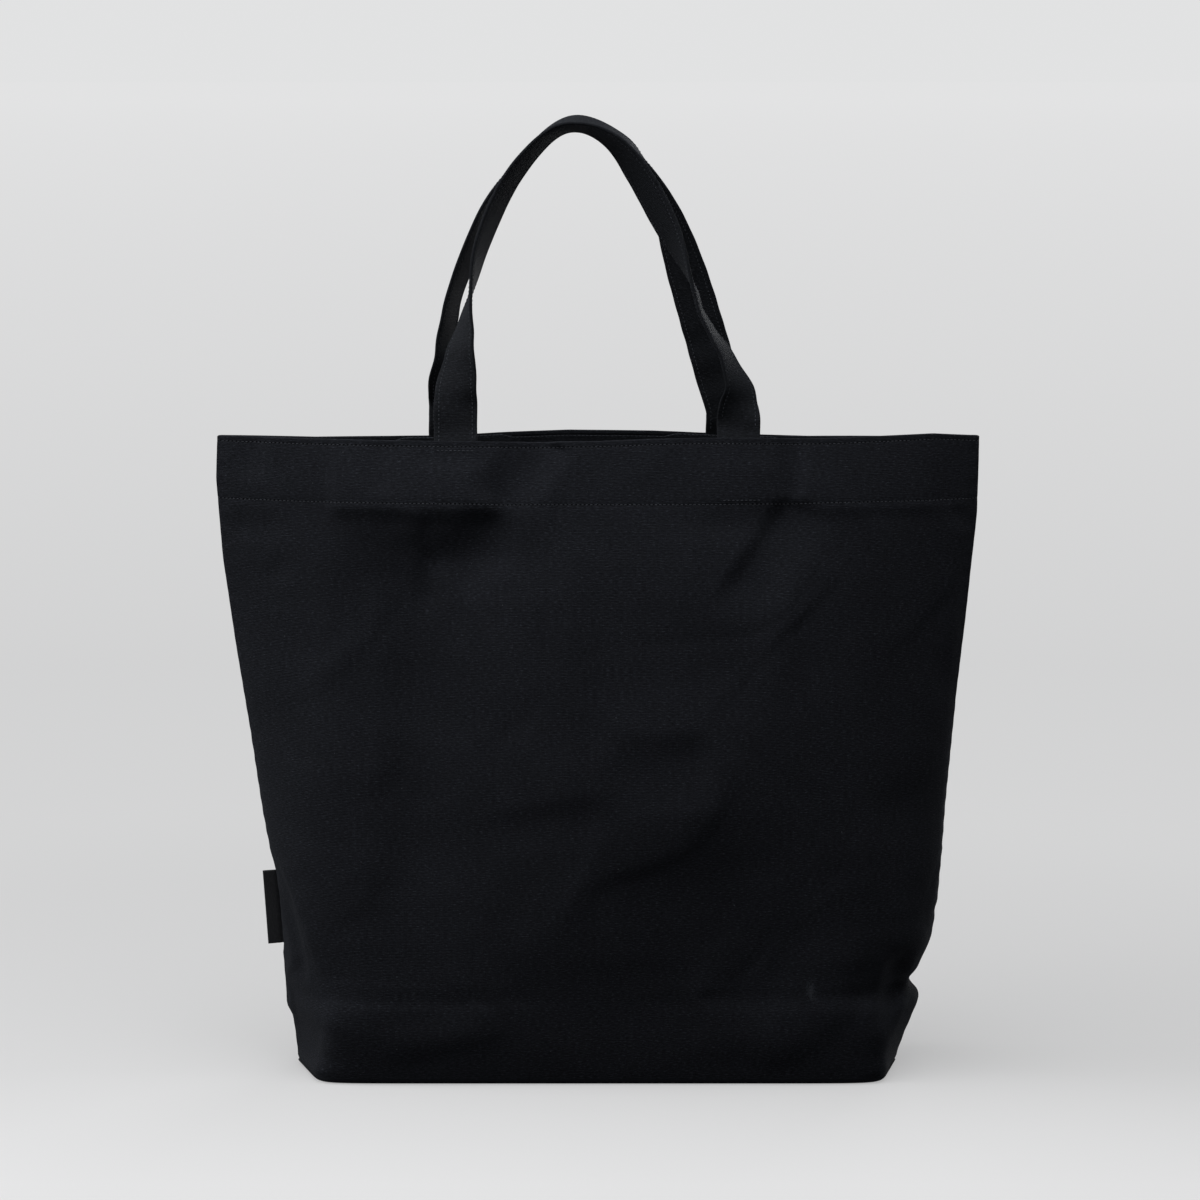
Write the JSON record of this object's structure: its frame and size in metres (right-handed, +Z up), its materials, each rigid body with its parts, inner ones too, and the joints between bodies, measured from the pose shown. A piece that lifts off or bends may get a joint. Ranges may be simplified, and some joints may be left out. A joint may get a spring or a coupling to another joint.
{
  "type": "canvas tote bag",
  "caption": "Large open-topped tote bag in heavy canvas with a boxed flat base, a faced rim, two twisted strap handles and a small folded side label.",
  "frame": {"origin": "on the floor, at the middle of the base", "axes": "+Z up, the bag's front faces -Y, its side seams are at +X and -X"},
  "size_m": [0.527, 0.144, 0.667],
  "materials": {
    "canvas": "matt black plain-weave cotton canvas, fine cross ribs",
    "facing": "matt black canvas, inside face",
    "strap": "matt black canvas folded to four plies, edge-stitched",
    "binding": "matt black woven tape",
    "label": "smooth black woven satin tape, left bare"
  },
  "bodies": {
    "bag": {"front_panel": "canvas", "back_panel": "canvas", "front_facing": "facing", "back_facing": "facing", "front_handle_ends": "strap", "back_handle_ends": "strap", "left_side_binding": "binding", "right_side_binding": "binding", "bottom_binding": "binding", "left_corner_binding": "binding", "right_corner_binding": "binding"},
    "front_handle": {"front_handle": "strap"},
    "back_handle": {"back_handle": "strap"},
    "side_label": {"side_label": "label"}
  },
  "joints": [
    {"name": "front_handle_swing", "type": "hinge", "parent": "bag", "child": "front_handle", "pos_m": [0, -0.03272, 0.459], "axis": [1, 0, 0], "range_deg": [0, 140]},
    {"name": "back_handle_swing", "type": "hinge", "parent": "bag", "child": "back_handle", "pos_m": [0, 0.03272, 0.459], "axis": [-1, 0, 0], "range_deg": [0, 140]},
    {"name": "label_flap", "type": "hinge", "parent": "bag", "child": "side_label", "pos_m": [-0.22214, 0, 0.087], "axis": [-0.0659, 0, 0.9978], "range_deg": [-80, 80]}
  ]
}
